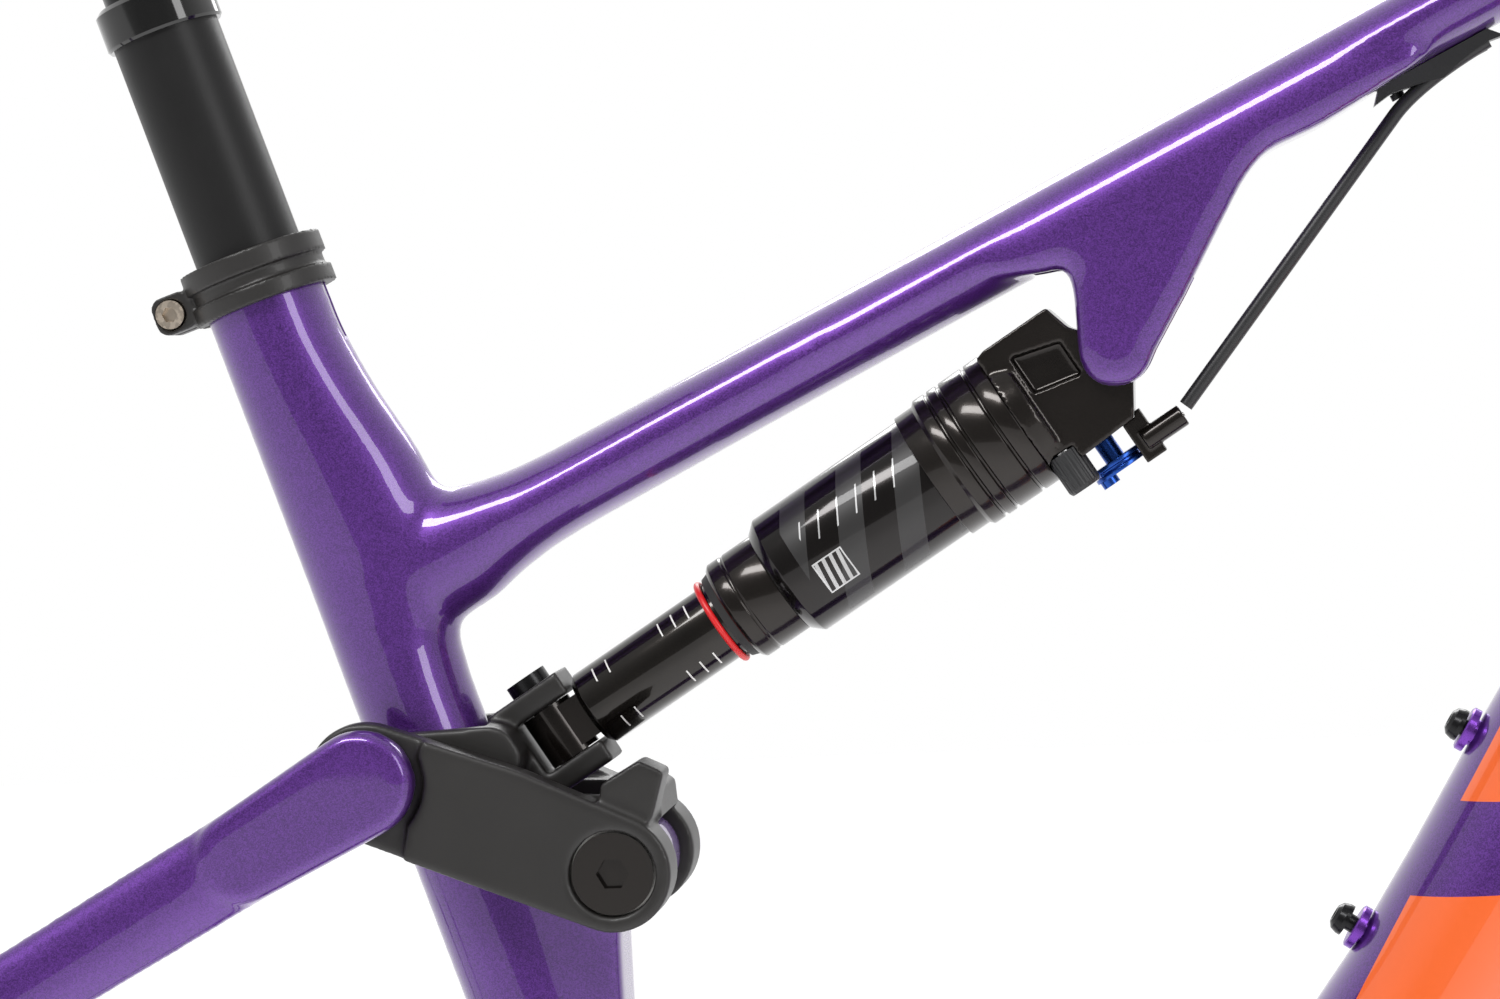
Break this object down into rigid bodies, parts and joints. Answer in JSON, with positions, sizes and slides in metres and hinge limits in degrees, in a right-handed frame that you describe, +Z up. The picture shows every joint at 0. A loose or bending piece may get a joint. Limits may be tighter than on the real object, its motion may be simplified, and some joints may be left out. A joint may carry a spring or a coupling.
{
  "type": "full suspension bicycle frame",
  "caption": "Full-suspension bicycle frame with linkage, air shock, dropper seatpost, stays, dropouts and bottle bosses.",
  "frame": {"origin": "centre of the bottom bracket shell", "axes": "+X forward, +Y to the rider's left along the bottom bracket, +Z up"},
  "size_m": [0.945, 0.1876, 0.6801],
  "materials": {
    "violet_paint": "metallic flake paint under clear lacquer",
    "black_anodised": "gloss black anodised, machined",
    "satin_black": "satin black paint over cast aluminium",
    "post_black": "fine matt black anodised",
    "steel": "turned and ground",
    "dark_steel": "black oxide",
    "champagne": "warm silver anodised",
    "blue_anodised": "blue anodised",
    "violet_anodised": "violet anodised",
    "bare_aluminium": "machined",
    "red_rubber": "smooth",
    "black_rubber": "smooth",
    "black_plastic": "fine moulded",
    "cable_steel": "stranded"
  },
  "bodies": {
    "front_frame": {"head_tube": "violet_paint", "top_tube": "violet_paint", "down_tube": "violet_paint", "seat_tube": "violet_paint", "bb_shell": "violet_paint", "seat_clamp_band": "satin_black", "seat_clamp_bolt": "champagne", "link_spacers": "bare_aluminium", "link_axle": "black_anodised", "link_axle_cap": "black_anodised", "main_spacers": "bare_aluminium", "main_axle": "black_anodised", "main_axle_cap": "black_anodised", "upper_shock_bolt": "dark_steel", "cable_guide": "black_plastic", "guide_screws": "dark_steel", "remote_housing": "black_plastic", "bottle_inserts": "violet_anodised", "bottle_bolts": "dark_steel"},
    "lower_stays": {"chainstays": "violet_paint", "chainstay_yoke": "violet_paint", "main_bearings": "steel", "dropouts": "black_anodised", "dropout_bolts": "black_anodised", "derailleur_hanger": "black_anodised", "hanger_screw": "steel", "brake_mount": "violet_paint"},
    "rocker": {"rocker_link": "satin_black", "link_bearings": "steel", "stay_bearings": "steel"},
    "upper_stays": {"seatstays": "violet_paint", "seatstay_bridge": "violet_paint", "stay_pins": "steel"},
    "shock_body": {"shock_head": "black_anodised", "air_can": "black_anodised", "can_collar": "black_anodised", "seal_head": "black_anodised", "shaft_wiper": "black_rubber", "damper_rod": "steel", "shock_bushing": "bare_aluminium", "valve_core": "bare_aluminium", "valve_cap": "black_plastic", "cable_stop": "black_anodised", "inner_cable": "cable_steel"},
    "spool": {"lockout_spool": "blue_anodised", "cable_screw": "blue_anodised"},
    "shock_rod": {"shock_shaft": "black_anodised", "air_piston": "bare_aluminium", "shock_eyelet": "black_anodised", "eyelet_bushing": "bare_aluminium", "yoke": "satin_black", "yoke_bolt": "dark_steel"},
    "travel_ring": {"o_ring": "red_rubber"},
    "seatpost": {"seatpost_outer": "post_black", "seatpost_collar": "black_anodised", "post_foot": "post_black"},
    "dropper": {"stanchion": "dark_steel", "post_head": "post_black", "rail_clamp": "post_black", "rail_clamp_bolts": "dark_steel"}
  },
  "joints": [
    {"name": "chainstay_pivot", "type": "hinge", "parent": "front_frame", "child": "lower_stays", "pos_m": [-0.028, 0, 0.05], "axis": [0, 1, 0], "range_deg": [0, 11.93], "stiffness_Nm_per_rad": 1500},
    {"name": "link_pivot", "type": "hinge", "parent": "front_frame", "child": "rocker", "pos_m": [0.0108, 0, 0.2368], "axis": [0, 1, 0], "range_deg": [0, 38.6]},
    {"name": "stay_pivot", "type": "hinge", "parent": "rocker", "child": "upper_stays", "pos_m": [-0.0577, 0, 0.2644], "axis": [0, 1, 0], "range_deg": [-32.2, 0]},
    {"name": "shock_pivot", "type": "hinge", "parent": "front_frame", "child": "shock_body", "pos_m": [0.1545, 0, 0.374], "axis": [0, 1, 0], "range_deg": [0, 4.9]},
    {"name": "shock_stroke", "type": "slide", "parent": "shock_body", "child": "shock_rod", "axis": [0.849, 0, 0.5284], "range_m": [0, 0.045]},
    {"name": "travel_ring_slide", "type": "slide", "parent": "shock_rod", "child": "travel_ring", "axis": [0.849, 0, 0.5284], "range_m": [-0.045, 0]},
    {"name": "lockout_turn", "type": "hinge", "parent": "shock_body", "child": "spool", "pos_m": [0.1399, 0, 0.36491], "axis": [0.5284, 0, -0.849], "range_deg": [0, 50], "stiffness_Nm_per_rad": 0.2},
    {"name": "seatpost_height", "type": "slide", "parent": "front_frame", "child": "seatpost", "axis": [-0.3123, 0, 0.95], "range_m": [-0.025, 0.06]},
    {"name": "dropper_travel", "type": "slide", "parent": "seatpost", "child": "dropper", "axis": [-0.3123, 0, 0.95], "range_m": [-0.125, 0]}
  ],
  "couplings": [
    {"joint": "link_pivot", "follows": "chainstay_pivot", "ratio": 3.2172},
    {"joint": "stay_pivot", "follows": "chainstay_pivot", "ratio": -2.6803},
    {"joint": "shock_pivot", "follows": "chainstay_pivot", "ratio": 0.40258},
    {"joint": "shock_stroke", "follows": "chainstay_pivot", "m_per_rad": 0.20881},
    {"joint": "travel_ring_slide", "follows": "chainstay_pivot", "m_per_rad": -0.20881}
  ]
}
